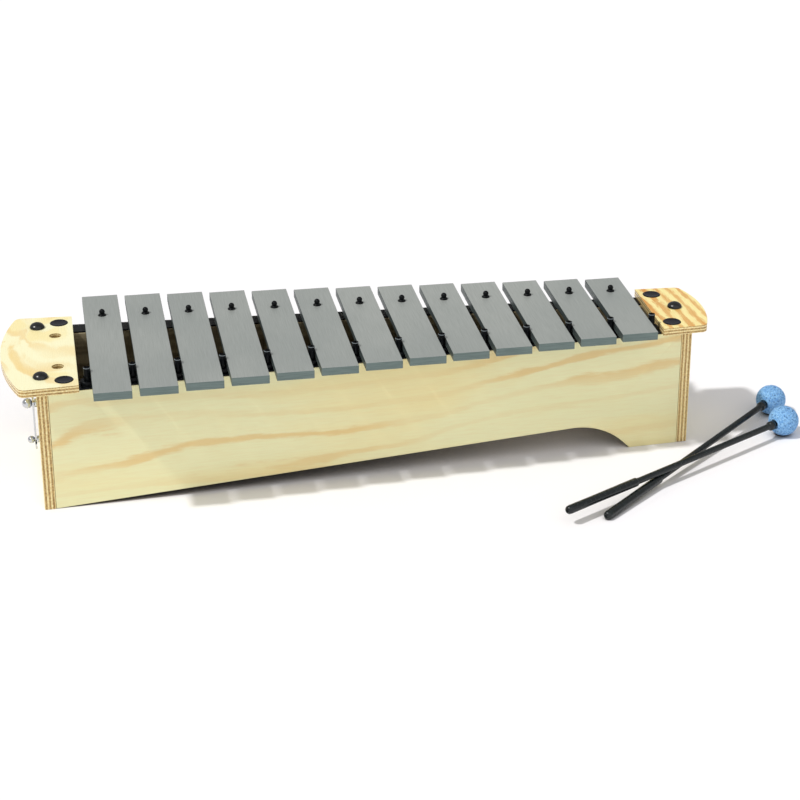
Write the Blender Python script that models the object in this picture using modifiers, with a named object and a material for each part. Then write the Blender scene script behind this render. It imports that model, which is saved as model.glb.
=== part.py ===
"""Soprano metallophone: thirteen tuned metal bars on a tapered wooden resonator, with two mallets.

Metres, +Z up. The origin is on the floor, in the middle of the bass end panel's bottom edge.
+X runs towards the treble end, and the player sits at -Y.
"""

import math

import bmesh
import bpy
from mathutils import Matrix, Vector

# Clearances
SEAT_GAP = 0.0003
PIN_CLEARANCE = 0.0003
SWING_CLEARANCE = 0.0007

# Bars
BAR_COUNT = 13
BAR_PITCH = 0.0361
BAR_WIDTH = 0.030
BAR_THICKNESS = 0.0069
BASS_BAR_LENGTH = 0.2024
TREBLE_BAR_LENGTH = 0.1246
BASS_ARCH_LENGTH = 0.084
TREBLE_ARCH_LENGTH = 0.044
BASS_ARCH_DEPTH = 0.0022
TREBLE_ARCH_DEPTH = 0.0012
ARCH_STEPS = 8

# Resonator box
BASS_MARGIN = 0.0544
TREBLE_MARGIN = 0.0520
BOX_HEIGHT = 0.102
BASS_DEPTH = 0.137
TREBLE_DEPTH = 0.077
END_WALL = 0.009
SIDE_WALL = 0.005
RAIL_WIDTH = 0.012
RAIL_HEIGHT = 0.040
BOTTOM_BOARD = 0.004
BOTTOM_RECESS = 0.003

# Lower edge of the side panels: a long rise from the bass corner, then an arch down to the foot
EDGE_RISE = 0.0248
FOOT_LENGTH = 0.0512
FOOT_ANGLE = math.radians(45)
ARCH_RADIUS = 0.060
FILLET_STEPS = 10

# Black bearing strips along the nodal lines, and the posts in them
POST_INSET = 0.0034
STRIP_THICKNESS = 0.001
STRIP_REVEAL = 0.001
COLLAR_RADIUS = 0.0055
SLEEVE_RADIUS = 0.0031
SLEEVE_RISE = 0.0009
PIN_SHANK_RADIUS = 0.0016
PIN_DEPTH = 0.014
PIN_NECK_RADIUS = 0.0019
PIN_DOME_RADIUS = 0.0024
PIN_RISE = 0.0055
SEPARATOR_RADIUS = 0.0026
SEPARATOR_BORE_RADIUS = 0.0012
SEPARATOR_BORE_DEPTH = 0.003
SEPARATOR_RISE = 0.0037
POST_SEGMENTS = 10

# End plates
PLATE_THICKNESS = 0.0065
PLATE_OVERHANG = 0.005
PLATE_CLEARANCE = 0.0102
PLATE_CORNER_RADIUS = 0.006
BASS_PLATE_REACH = 0.0265
BASS_PLATE_CROWN = 0.014
TREBLE_PLATE_REACH = 0.0194
TREBLE_PLATE_CROWN = 0.0085
CROWN_STEPS = 12
PLUG_RADIUS = 0.0073
PLUG_THICKNESS = 0.002
PLUG_RISE = 0.0005
PLUG_DISH = 0.0004
PLUG_SETBACK = 0.011
MALLET_HOLE_RADIUS = 0.005
MALLET_HOLE_SETBACK = 0.015
MALLET_HOLE_SPREAD = 0.032
BUTTON_RADIUS = 0.0062
BUTTON_HEIGHT = 0.0044
BASS_BUTTON_SPREAD = 0.0515

# Coupling link on the bass end
LINK_PIVOT_HEIGHT = 0.064
LINK_SPAN = 0.033
LINK_WIDTH = 0.010
LINK_THICKNESS = 0.0015
LINK_TOP = 0.0052
LINK_TAIL = 0.008
LINK_STANDOFF = 0.0026
STUD_SHANK_RADIUS = 0.0015
STUD_SHANK_DEPTH = 0.006
PIVOT_JOURNAL_RADIUS = 0.002
PIVOT_SHOULDER_RADIUS = 0.0036
PIVOT_KNOB_RADIUS = 0.0044
CATCH_JOURNAL_RADIUS = 0.0015
CATCH_SHOULDER_RADIUS = 0.003
CATCH_KNOB_RADIUS = 0.0032

# Mallets
MALLET_LENGTH = 0.258
HEAD_RADIUS = 0.013
HEAD_BORE_DEPTH = 0.012
SHAFT_RADIUS = 0.0026
FERRULE_RADIUS = 0.004
FERRULE_LENGTH = 0.0045
GRIP_RADIUS = 0.0037
GRIP_LENGTH = 0.078
GRIP_END = 0.004
LOWER_HEAD_SPOT = (0.6286, 0.0028)
LOWER_HEADING = math.radians(221.2)
UPPER_HEAD_SPOT = (0.6252, -0.0405)
UPPER_HEADING = math.radians(210.0)

# Sizes that follow from those above
BASS_FACE = -END_WALL / 2
LAST_BAR_X = BASS_MARGIN + (BAR_COUNT - 1) * BAR_PITCH
TREBLE_FACE = LAST_BAR_X + TREBLE_MARGIN
TAPER = (BASS_DEPTH - TREBLE_DEPTH) / 2 / TREBLE_FACE
FOOT_X = TREBLE_FACE - FOOT_LENGTH
EDGE_SLOPE = EDGE_RISE / (FOOT_X - EDGE_RISE)
NODE_INSET = SIDE_WALL + POST_INSET
STRIP_BOTTOM = BOX_HEIGHT + SEAT_GAP
STRIP_TOP = STRIP_BOTTOM + STRIP_THICKNESS
COLLAR_HEIGHT = 0.0032
BAR_BOTTOM = STRIP_TOP + SEAT_GAP + COLLAR_HEIGHT + SEAT_GAP
BAR_TOP = BAR_BOTTOM + BAR_THICKNESS
PLATE_BOTTOM = BOX_HEIGHT + SEAT_GAP
PLATE_TOP = PLATE_BOTTOM + PLATE_THICKNESS
BASS_PLATE_INNER = BASS_MARGIN - BAR_WIDTH / 2 - PLATE_CLEARANCE
TREBLE_PLATE_INNER = LAST_BAR_X + BAR_WIDTH / 2 + PLATE_CLEARANCE

FRONT = -1
BACK = 1


def clear_scene():
    for item in list(bpy.data.objects):
        bpy.data.objects.remove(item)


def new_collection(name):
    collection = bpy.data.collections.new(name)
    bpy.context.scene.collection.children.link(collection)
    return collection


clear_scene()
PARTS = new_collection("metallophone")
CUTTERS = new_collection("cutters")


def make_material(name, colour, roughness, metallic=0.0):
    material = bpy.data.materials.new(name)
    material.use_nodes = True
    shader = material.node_tree.nodes["Principled BSDF"]
    shader.inputs["Base Color"].default_value = (*colour, 1.0)
    shader.inputs["Roughness"].default_value = roughness
    shader.inputs["Metallic"].default_value = metallic
    material.diffuse_color = (*colour, 1.0)
    return material


PANEL_PLY = make_material("panel_plywood", (0.78, 0.70, 0.43), 0.45)
PLATE_PLY = make_material("plate_plywood", (0.86, 0.70, 0.33), 0.40)
RAW_PINE = make_material("raw_pine", (0.40, 0.27, 0.13), 0.65)
BAR_METAL = make_material("bar_metal", (0.33, 0.35, 0.33), 0.38, 0.6)
BLACK_RUBBER = make_material("black_rubber", (0.012, 0.012, 0.014), 0.55)
BLACK_PLASTIC = make_material("black_plastic", (0.010, 0.010, 0.012), 0.25)
CHROME = make_material("chrome", (0.72, 0.72, 0.74), 0.12, 1.0)
MALLET_BLACK = make_material("mallet_black", (0.012, 0.018, 0.018), 0.35)
BLUE_YARN = make_material("blue_yarn", (0.11, 0.33, 0.68), 0.9)


def half_depth(x):
    """Distance from the middle plane to the outer face of a side panel at x."""
    return BASS_DEPTH / 2 - TAPER * x


def node_line(x):
    """Distance from the middle plane to the line of posts, which is the bars' nodal line."""
    return half_depth(x) - NODE_INSET


def bar_share(index):
    """0 at the bass bar, 1 at the treble bar."""
    return index / (BAR_COUNT - 1)


def between(first, last, share):
    return first + (last - first) * share


def bar_x(index):
    return BASS_MARGIN + index * BAR_PITCH


def edge_height(x):
    """Height of the long sloping lower edge above the floor at x."""
    return EDGE_SLOPE * x


def finish(item, material, smooth=False):
    """Put a finished piece in the parts collection with its material."""
    PARTS.objects.link(item)
    item.data.materials.clear()
    item.data.materials.append(material)
    if smooth:
        item.data.shade_smooth()
        item.data.set_sharp_from_angle(angle=math.radians(40))
    return item


def hide_cutter(item):
    CUTTERS.objects.link(item)
    item.hide_render = True
    item.display_type = "WIRE"
    return item


def tidy_mesh(mesh):
    """Weld loose caps and turn every face outwards."""
    shape = bmesh.new()
    shape.from_mesh(mesh)
    bmesh.ops.remove_doubles(shape, verts=shape.verts, dist=0.00001)
    bmesh.ops.recalc_face_normals(shape, faces=shape.faces)
    shape.to_mesh(mesh)
    shape.free()


def rounded(corners, steps=6):
    """Outline through corners given as (u, v, radius), each rounded by an arc of its radius."""
    outline = []
    count = len(corners)
    for index, (u, v, radius) in enumerate(corners):
        here = Vector((u, v))
        if radius == 0:
            outline.append(tuple(here))
            continue
        back = (Vector(corners[index - 1][:2]) - here).normalized()
        ahead = (Vector(corners[(index + 1) % count][:2]) - here).normalized()
        half_angle = back.angle(ahead) / 2
        centre = here + (back + ahead).normalized() * (radius / math.sin(half_angle))
        first = here + back * (radius / math.tan(half_angle)) - centre
        last = here + ahead * (radius / math.tan(half_angle)) - centre
        sweep = first.angle_signed(last)
        for step in range(steps + 1):
            turn = -sweep * step / steps
            spoke = Matrix.Rotation(turn, 2) @ first
            outline.append(tuple(centre + spoke))
    return outline


PLANES = {
    "XY": Matrix.Identity(4),
    "XZ": Matrix(((1, 0, 0, 0), (0, 0, -1, 0), (0, 1, 0, 0), (0, 0, 0, 1))),
    "YZ": Matrix(((0, 0, 1, 0), (1, 0, 0, 0), (0, 1, 0, 0), (0, 0, 0, 1))),
}


def prism(name, outline, thickness, plane="XY"):
    """A flat outline in the named plane, thickened evenly to both sides of it."""
    curve = bpy.data.curves.new(name, "CURVE")
    curve.dimensions = "2D"
    curve.fill_mode = "BOTH"
    curve.extrude = thickness / 2
    spline = curve.splines.new("POLY")
    spline.points.add(len(outline) - 1)
    for point, (u, v) in zip(spline.points, outline):
        point.co = (u, v, 0.0, 1.0)
    spline.use_cyclic_u = True
    drawing = bpy.data.objects.new(name, curve)
    bpy.context.scene.collection.objects.link(drawing)
    graph = bpy.context.evaluated_depsgraph_get()
    mesh = bpy.data.meshes.new_from_object(drawing.evaluated_get(graph))
    bpy.data.objects.remove(drawing)
    bpy.data.curves.remove(curve)
    mesh.name = name
    mesh.transform(PLANES[plane])
    tidy_mesh(mesh)
    return bpy.data.objects.new(name, mesh)


def turned(name, profile, segments, smooth=True):
    """A body turned about Z from (radius, height) points that run down its outer side."""
    mesh = bpy.data.meshes.new(name)
    points = [(radius, 0.0, height) for radius, height in profile]
    edges = [(index, index + 1) for index in range(len(points) - 1)]
    mesh.from_pydata(points, edges, [])
    item = bpy.data.objects.new(name, mesh)
    screw = item.modifiers.new("turn", "SCREW")
    screw.steps = segments
    screw.render_steps = segments
    screw.use_merge_vertices = True
    screw.merge_threshold = 0.00001
    screw.use_smooth_shade = smooth
    return item


def frozen(item):
    """The same object with its modifiers applied to the mesh."""
    bpy.context.scene.collection.objects.link(item)
    graph = bpy.context.evaluated_depsgraph_get()
    mesh = bpy.data.meshes.new_from_object(item.evaluated_get(graph))
    bpy.context.scene.collection.objects.unlink(item)
    item.modifiers.clear()
    item.data = mesh
    mesh.name = item.name
    tidy_mesh(mesh)
    return item


def combine(item, operand, operation):
    boolean = item.modifiers.new(operand.name, "BOOLEAN")
    boolean.operation = operation
    boolean.object = operand


def rod_cutter(name, radius, low, high, segments):
    """A plain cylinder about Z, for drilling."""
    return turned(name, [(0, high), (radius, high), (radius, low), (0, low)], segments)


def repeat_along_side(item, count, side):
    """Repeat a post or a drill at the bars' pitch, along one side of the tapering box."""
    row = item.modifiers.new("row", "ARRAY")
    row.count = count
    row.use_relative_offset = False
    row.use_constant_offset = True
    row.constant_offset_displace = (BAR_PITCH, -side * TAPER * BAR_PITCH, 0.0)


def lay_along_side(item, side):
    """Turn local y, measured inboard from the outer face, into place along a tapering side."""
    for vertex in item.data.vertices:
        vertex.co.y = side * (half_depth(vertex.co.x) - vertex.co.y)
    tidy_mesh(item.data)


def side_panel_outline():
    """Side view of a panel: the rise from the bass corner, the arch and the foot."""
    start = BASS_FACE + END_WALL + SEAT_GAP
    end = TREBLE_FACE - END_WALL - SEAT_GAP
    drop = math.tan(FOOT_ANGLE)
    crest_x = FOOT_X * drop / (drop + EDGE_SLOPE)
    corners = [
        (start, edge_height(start), 0),
        (crest_x, edge_height(crest_x), ARCH_RADIUS),
        (FOOT_X, 0, 0),
        (end, 0, 0),
        (end, BOX_HEIGHT, 0),
        (start, BOX_HEIGHT, 0),
    ]
    return rounded(corners, FILLET_STEPS)


def make_side_panel(name, side):
    panel = prism(name, side_panel_outline(), SIDE_WALL, "XZ")
    panel.data.transform(Matrix.Translation((0, SIDE_WALL / 2, 0)))
    lay_along_side(panel, side)
    finish(panel, PANEL_PLY)


def make_rail(name, side):
    start = BASS_FACE + END_WALL + SEAT_GAP
    end = TREBLE_FACE - END_WALL - SEAT_GAP
    outer = SIDE_WALL + SEAT_GAP
    inner = SIDE_WALL + RAIL_WIDTH
    outline = [(start, outer), (end, outer), (end, inner), (start, inner)]
    rail = prism(name, outline, RAIL_HEIGHT)
    rail.data.transform(Matrix.Translation((0, 0, BOX_HEIGHT - RAIL_HEIGHT / 2)))
    lay_along_side(rail, side)
    return finish(rail, RAW_PINE)


def make_strip(name, side):
    start = BASS_PLATE_INNER + SEAT_GAP
    end = TREBLE_PLATE_INNER - SEAT_GAP
    inner = SIDE_WALL + RAIL_WIDTH - STRIP_REVEAL
    outline = [(start, 0), (end, 0), (end, inner), (start, inner)]
    strip = prism(name, outline, STRIP_THICKNESS)
    strip.data.transform(Matrix.Translation((0, 0, STRIP_BOTTOM + STRIP_THICKNESS / 2)))
    lay_along_side(strip, side)
    return finish(strip, BLACK_RUBBER)


def make_end_panel(name, outer_x, inner_x):
    outline = [
        (outer_x, -half_depth(outer_x)),
        (inner_x, -half_depth(inner_x)),
        (inner_x, half_depth(inner_x)),
        (outer_x, half_depth(outer_x)),
    ]
    panel = prism(name, outline, BOX_HEIGHT)
    panel.data.transform(Matrix.Translation((0, 0, BOX_HEIGHT / 2)))
    return finish(panel, PANEL_PLY)


def make_bottom_board():
    """The board that closes the resonator, rising with the panels' lower edge."""
    start = BASS_FACE + END_WALL + SEAT_GAP
    end = TREBLE_FACE - END_WALL - SEAT_GAP
    inset = SIDE_WALL + SEAT_GAP
    outline = [
        (start, -half_depth(start) + inset),
        (end, -half_depth(end) + inset),
        (end, half_depth(end) - inset),
        (start, half_depth(start) - inset),
    ]
    board = prism("bottom_board", outline, BOTTOM_BOARD)
    for vertex in board.data.vertices:
        vertex.co.z += BOTTOM_RECESS + BOTTOM_BOARD / 2 + edge_height(vertex.co.x)
    finish(board, PANEL_PLY)


def make_bar(index, drill):
    """A bar with the shallow arch that tunes it milled out of its underside."""
    share = bar_share(index)
    length = between(BASS_BAR_LENGTH, TREBLE_BAR_LENGTH, share)
    arch_length = between(BASS_ARCH_LENGTH, TREBLE_ARCH_LENGTH, share)
    arch_depth = between(BASS_ARCH_DEPTH, TREBLE_ARCH_DEPTH, share)
    outline = [(length / 2, 0), (length / 2, BAR_THICKNESS), (-length / 2, BAR_THICKNESS), (-length / 2, 0)]
    for step in range(ARCH_STEPS + 1):
        across = 2 * step / ARCH_STEPS - 1
        outline.append((across * arch_length / 2, arch_depth * (1 - across**2)))
    bar = prism(f"bar_{index + 1:02d}", outline, BAR_WIDTH, "YZ")
    bar.location = (bar_x(index), 0, BAR_BOTTOM)
    combine(bar, drill, "DIFFERENCE")
    finish(bar, BAR_METAL)


def bar_pin_profile():
    """Shank in the rail, collar under the bar, sleeve through it and domed tip above it."""
    collar_bottom = STRIP_TOP + SEAT_GAP
    sleeve_top = BAR_TOP + SLEEVE_RISE
    tip = BAR_TOP + PIN_RISE
    dome_middle = tip - PIN_DOME_RADIUS
    profile = [(0, tip)]
    for degrees in (35, 65, 90, 125):
        angle = math.radians(degrees)
        profile.append((PIN_DOME_RADIUS * math.sin(angle), dome_middle + PIN_DOME_RADIUS * math.cos(angle)))
    profile += [
        (PIN_NECK_RADIUS, sleeve_top),
        (SLEEVE_RADIUS, sleeve_top),
        (SLEEVE_RADIUS, collar_bottom + COLLAR_HEIGHT),
        (COLLAR_RADIUS, collar_bottom + COLLAR_HEIGHT),
        (COLLAR_RADIUS, collar_bottom),
        (PIN_SHANK_RADIUS, collar_bottom),
        (PIN_SHANK_RADIUS, BOX_HEIGHT - PIN_DEPTH),
        (0, BOX_HEIGHT - PIN_DEPTH),
    ]
    return profile


def make_bar_pins(far_strip, far_rail):
    """The thirteen pins of the far side, and their holes in the strip and the rail."""
    drill_bottom = BOX_HEIGHT - PIN_DEPTH - PIN_CLEARANCE
    drill_radius = PIN_SHANK_RADIUS + PIN_CLEARANCE
    drill = rod_cutter("pin_drill", drill_radius, drill_bottom, BAR_BOTTOM, POST_SEGMENTS)
    drill.location = (bar_x(0), node_line(bar_x(0)), 0)
    repeat_along_side(drill, BAR_COUNT, BACK)
    hide_cutter(drill)
    combine(far_strip, drill, "DIFFERENCE")
    combine(far_rail, drill, "DIFFERENCE")
    for index in range(BAR_COUNT):
        pin = frozen(turned(f"bar_pin_{index + 1:02d}", bar_pin_profile(), POST_SEGMENTS))
        pin.location = (bar_x(index), node_line(bar_x(index)), 0)
        finish(pin, BLACK_RUBBER, smooth=True)


def make_separators(near_strip):
    """The fourteen tubes that stand between the bars, each with a collar that carries two bars."""
    top = BAR_TOP + SEPARATOR_RISE
    collar_top = BAR_BOTTOM - SEAT_GAP
    root = STRIP_TOP - STRIP_THICKNESS / 2
    profile = [
        (0, top - SEPARATOR_BORE_DEPTH),
        (SEPARATOR_BORE_RADIUS, top - SEPARATOR_BORE_DEPTH),
        (SEPARATOR_BORE_RADIUS, top),
        (SEPARATOR_RADIUS, top),
        (SEPARATOR_RADIUS, collar_top),
        (COLLAR_RADIUS, collar_top),
        (COLLAR_RADIUS, root),
        (0, root),
    ]
    tubes = turned("separator_tubes", profile, POST_SEGMENTS)
    first_x = bar_x(0) - BAR_PITCH / 2
    tubes.location = (first_x, -node_line(first_x), 0)
    repeat_along_side(tubes, BAR_COUNT + 1, FRONT)
    hide_cutter(tubes)
    combine(near_strip, tubes, "UNION")


def plate_outline(inner_x, tip_x, crown):
    """Plan of an end plate: straight inner edge, sides along the taper, crowned outer end."""
    outward = 1 if tip_x > inner_x else -1
    corner_x = tip_x - outward * crown
    corner_y = half_depth(corner_x) + PLATE_OVERHANG
    radius = (corner_y**2 + crown**2) / (2 * crown)
    centre_x = tip_x - outward * radius
    spread = math.asin(corner_y / radius)
    corners = [(inner_x, half_depth(inner_x) + PLATE_OVERHANG, 0)]
    for step in range(CROWN_STEPS + 1):
        angle = spread * (1 - 2 * step / CROWN_STEPS)
        at_corner = step in (0, CROWN_STEPS)
        corner_radius = PLATE_CORNER_RADIUS if at_corner else 0
        corners.append((centre_x + outward * radius * math.cos(angle), radius * math.sin(angle), corner_radius))
    corners.append((inner_x, -half_depth(inner_x) - PLATE_OVERHANG, 0))
    return rounded(corners, 4)


def make_plate(name, inner_x, tip_x, crown):
    plate = prism(name, plate_outline(inner_x, tip_x, crown), PLATE_THICKNESS)
    plate.data.transform(Matrix.Translation((0, 0, PLATE_BOTTOM + PLATE_THICKNESS / 2)))
    return finish(plate, PLATE_PLY)


def plug_profile():
    """A flat cap over a screw head, dished on top with a soft rim."""
    chamfer = PLUG_RISE
    return [
        (0, -PLUG_DISH),
        (PLUG_RADIUS * 0.75, -PLUG_DISH),
        (PLUG_RADIUS - 2 * chamfer, 0),
        (PLUG_RADIUS - chamfer, 0),
        (PLUG_RADIUS, -chamfer),
        (PLUG_RADIUS, -PLUG_THICKNESS),
        (0, -PLUG_THICKNESS),
    ]


def make_plugs(plate, inner_x, outward, first_number):
    """Two cover plugs over the screws that hold a plate to the rails."""
    x = inner_x + outward * PLUG_SETBACK
    for offset, side in enumerate((FRONT, BACK)):
        number = first_number + offset
        place = (x, side * node_line(x), PLATE_TOP + PLUG_RISE)
        seat = rod_cutter(
            f"plug_seat_{number}",
            PLUG_RADIUS + PIN_CLEARANCE,
            -PLUG_THICKNESS - SEAT_GAP,
            PLUG_THICKNESS,
            24,
        )
        seat.location = place
        hide_cutter(seat)
        combine(plate, seat, "DIFFERENCE")
        plug = frozen(turned(f"cover_plug_{number}", plug_profile(), 20))
        plug.location = place
        finish(plug, BLACK_PLASTIC, smooth=True)


def make_mallet_holes(plate):
    """Two round holes through the bass plate, where the mallets are stood."""
    x = BASS_PLATE_INNER - MALLET_HOLE_SETBACK
    for side, name in ((FRONT, "mallet_hole_near"), (BACK, "mallet_hole_far")):
        hole = rod_cutter(name, MALLET_HOLE_RADIUS, PLATE_BOTTOM - 0.002, PLATE_TOP + 0.002, 16)
        hole.location = (x, side * MALLET_HOLE_SPREAD, 0)
        hide_cutter(hole)
        combine(plate, hole, "DIFFERENCE")


def make_button(number, x, y):
    """A domed cap over one of the screws that hold a plate to its end panel."""
    profile = []
    for degrees in (0, 25, 45, 65, 80):
        angle = math.radians(degrees)
        profile.append((BUTTON_RADIUS * math.sin(angle), BUTTON_HEIGHT * math.cos(angle)))
    profile += [(BUTTON_RADIUS, 0), (0, 0)]
    button = frozen(turned(f"dome_button_{number}", profile, 18))
    button.location = (x, y, PLATE_TOP + SEAT_GAP)
    finish(button, BLACK_PLASTIC, smooth=True)


def make_stud(name, height, journal, shoulder, knob, end_panel):
    """A ball-headed stud screwed into the bass end: shank, shoulder, journal and knob."""
    shoulder_top = LINK_STANDOFF - SEAT_GAP
    journal_top = LINK_STANDOFF + LINK_THICKNESS + SEAT_GAP
    ball_middle = journal_top + knob * 0.8
    profile = []
    for degrees in (0, 30, 60, 90, 120):
        angle = math.radians(degrees)
        profile.append((knob * math.sin(angle), ball_middle + knob * math.cos(angle)))
    profile += [
        (knob * 0.6, journal_top),
        (journal, journal_top),
        (journal, shoulder_top),
        (shoulder, shoulder_top),
        (shoulder, SEAT_GAP),
        (STUD_SHANK_RADIUS, SEAT_GAP),
        (STUD_SHANK_RADIUS, -STUD_SHANK_DEPTH),
        (0, -STUD_SHANK_DEPTH),
    ]
    outwards = (0, -math.pi / 2, 0)
    place = (BASS_FACE, 0, height)
    stud = frozen(turned(name, profile, 14))
    stud.location = place
    stud.rotation_euler = outwards
    finish(stud, CHROME, smooth=True)
    drill_depth = -STUD_SHANK_DEPTH - PIN_CLEARANCE
    drill = rod_cutter(f"{name}_drill", STUD_SHANK_RADIUS + PIN_CLEARANCE, drill_depth, 0.002, 12)
    drill.location = place
    drill.rotation_euler = outwards
    hide_cutter(drill)
    combine(end_panel, drill, "DIFFERENCE")


def make_coupling_link():
    """The link hangs on the pivot stud; a slot open to the front lets it swing off the catch stud."""
    half = LINK_WIDTH / 2
    slot = CATCH_JOURNAL_RADIUS + SWING_CLEARANCE
    corners = [
        (half, LINK_TOP, half * 0.9),
        (-half, LINK_TOP, half * 0.9),
        (-half, -LINK_SPAN + slot, 0.0008),
        (slot, -LINK_SPAN + slot, slot * 0.95),
        (slot, -LINK_SPAN - slot, slot * 0.95),
        (-half, -LINK_SPAN - slot, 0.0008),
        (-half, -LINK_SPAN - LINK_TAIL, 0.003),
        (half, -LINK_SPAN - LINK_TAIL, 0.003),
    ]
    link = prism("coupling_link", rounded(corners, 4), LINK_THICKNESS, "YZ")
    middle_x = BASS_FACE - LINK_STANDOFF - LINK_THICKNESS / 2
    link.location = (middle_x, 0, LINK_PIVOT_HEIGHT)
    eye = rod_cutter("link_eye", PIVOT_JOURNAL_RADIUS + PIN_CLEARANCE, -0.01, 0.01, 16)
    eye.location = link.location
    eye.rotation_euler = (0, -math.pi / 2, 0)
    hide_cutter(eye)
    combine(link, eye, "DIFFERENCE")
    finish(link, CHROME)


def heading_vector(heading):
    return Vector((math.cos(heading), math.sin(heading)))


def shaft_crossing():
    """Distances from the lower and the upper head to the point where the shafts cross in plan."""
    lower = heading_vector(LOWER_HEADING)
    upper = heading_vector(UPPER_HEADING)
    offset = Vector(UPPER_HEAD_SPOT) - Vector(LOWER_HEAD_SPOT)
    cross = lower.cross(upper)
    return offset.cross(upper) / cross, offset.cross(lower) / cross


def mallet_slopes():
    """Fall of the lower mallet to the floor, and rise of the upper one, whose shaft lies on its grip."""
    lower_drop = (HEAD_RADIUS - GRIP_RADIUS) / MALLET_LENGTH
    along_lower, along_upper = shaft_crossing()
    lower_height = HEAD_RADIUS - lower_drop * along_lower
    skew = lower_drop / math.sin(LOWER_HEADING - UPPER_HEADING)
    upper_height = lower_height + (GRIP_RADIUS + SHAFT_RADIUS + SEAT_GAP) * math.hypot(1, skew)
    return -lower_drop, (upper_height - HEAD_RADIUS) / along_upper


def place_mallet_piece(piece, spot, heading, slope):
    """Stand a turned piece at its head's spot, with its axis pointing along the shaft."""
    flat = heading_vector(heading)
    axis = Vector((flat.x, flat.y, slope))
    piece.location = (spot[0], spot[1], HEAD_RADIUS)
    piece.rotation_mode = "QUATERNION"
    piece.rotation_quaternion = axis.to_track_quat("Z", "Y")


def mallet_head(name):
    """A ball with a blind bore for the shaft."""
    mesh = bpy.data.meshes.new(name)
    ball = bmesh.new()
    bmesh.ops.create_uvsphere(ball, u_segments=20, v_segments=12, radius=HEAD_RADIUS)
    ball.to_mesh(mesh)
    ball.free()
    return bpy.data.objects.new(name, mesh)


def make_mallet(label, spot, heading, slope):
    bore_radius = SHAFT_RADIUS + PIN_CLEARANCE
    shaft_start = HEAD_RADIUS - HEAD_BORE_DEPTH
    shaft_end = MALLET_LENGTH - GRIP_END
    ferrule_start = HEAD_RADIUS + SEAT_GAP
    ferrule_end = ferrule_start + FERRULE_LENGTH
    shaft_profile = [
        (0, shaft_end - SEAT_GAP),
        (SHAFT_RADIUS, shaft_end - SEAT_GAP),
        (SHAFT_RADIUS, ferrule_end + FERRULE_RADIUS - SHAFT_RADIUS),
        (FERRULE_RADIUS, ferrule_end),
        (FERRULE_RADIUS, ferrule_start),
        (SHAFT_RADIUS, ferrule_start),
        (SHAFT_RADIUS, shaft_start + SEAT_GAP),
        (0, shaft_start + SEAT_GAP),
    ]
    grip_start = MALLET_LENGTH - GRIP_LENGTH
    grip_profile = [
        (0, MALLET_LENGTH),
        (GRIP_RADIUS * 0.6, MALLET_LENGTH - 0.0005),
        (GRIP_RADIUS * 0.92, MALLET_LENGTH - 0.0018),
        (GRIP_RADIUS, MALLET_LENGTH - GRIP_END),
        (GRIP_RADIUS, grip_start + 0.001),
        (bore_radius + 0.0003, grip_start),
        (bore_radius, grip_start),
        (bore_radius, shaft_end),
        (0, shaft_end),
    ]
    shaft = frozen(turned(f"mallet_shaft_{label}", shaft_profile, 14))
    grip = frozen(turned(f"mallet_grip_{label}", grip_profile, 16))
    head = mallet_head(f"mallet_head_{label}")
    bore = rod_cutter(f"head_bore_{label}", bore_radius, shaft_start, 2 * HEAD_RADIUS, 14)
    for piece in (shaft, grip, head, bore):
        place_mallet_piece(piece, spot, heading, slope)
    hide_cutter(bore)
    combine(head, bore, "DIFFERENCE")
    finish(shaft, MALLET_BLACK, smooth=True)
    finish(grip, MALLET_BLACK, smooth=True)
    finish(head, BLUE_YARN, smooth=True)


def build_resonator():
    make_side_panel("front_panel", FRONT)
    make_side_panel("back_panel", BACK)
    bass_end = make_end_panel("bass_end_panel", BASS_FACE, BASS_FACE + END_WALL)
    make_end_panel("treble_end_panel", TREBLE_FACE - END_WALL, TREBLE_FACE)
    make_bottom_board()
    return bass_end


def build_bearings():
    make_rail("near_rail", FRONT)
    far_rail = make_rail("far_rail", BACK)
    near_strip = make_strip("near_strip", FRONT)
    far_strip = make_strip("far_strip", BACK)
    make_bar_pins(far_strip, far_rail)
    make_separators(near_strip)


def build_bars():
    """All the bars share one row of drills, a little wider than the pins' sleeves."""
    radius = SLEEVE_RADIUS + PIN_CLEARANCE
    drill = rod_cutter("bar_drill", radius, BAR_BOTTOM - 0.002, BAR_TOP + 0.002, 16)
    drill.location = (bar_x(0), node_line(bar_x(0)), 0)
    repeat_along_side(drill, BAR_COUNT, BACK)
    hide_cutter(drill)
    for index in range(BAR_COUNT):
        make_bar(index, drill)


def build_end_plates():
    bass_tip = BASS_FACE - BASS_PLATE_REACH
    treble_tip = TREBLE_FACE + TREBLE_PLATE_REACH
    bass = make_plate("bass_end_plate", BASS_PLATE_INNER, bass_tip, BASS_PLATE_CROWN)
    treble = make_plate("treble_end_plate", TREBLE_PLATE_INNER, treble_tip, TREBLE_PLATE_CROWN)
    make_plugs(bass, BASS_PLATE_INNER, -1, 1)
    make_plugs(treble, TREBLE_PLATE_INNER, 1, 3)
    make_mallet_holes(bass)
    bass_wall_x = BASS_FACE + END_WALL / 2
    treble_wall_x = TREBLE_FACE - END_WALL / 2
    make_button(1, bass_wall_x, -BASS_BUTTON_SPREAD)
    make_button(2, bass_wall_x, BASS_BUTTON_SPREAD)
    make_button(3, treble_wall_x, 0)


def build_coupling(bass_end):
    make_stud(
        "link_pivot", LINK_PIVOT_HEIGHT, PIVOT_JOURNAL_RADIUS, PIVOT_SHOULDER_RADIUS, PIVOT_KNOB_RADIUS, bass_end
    )
    catch_height = LINK_PIVOT_HEIGHT - LINK_SPAN
    make_stud(
        "link_catch", catch_height, CATCH_JOURNAL_RADIUS, CATCH_SHOULDER_RADIUS, CATCH_KNOB_RADIUS, bass_end
    )
    make_coupling_link()


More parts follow.
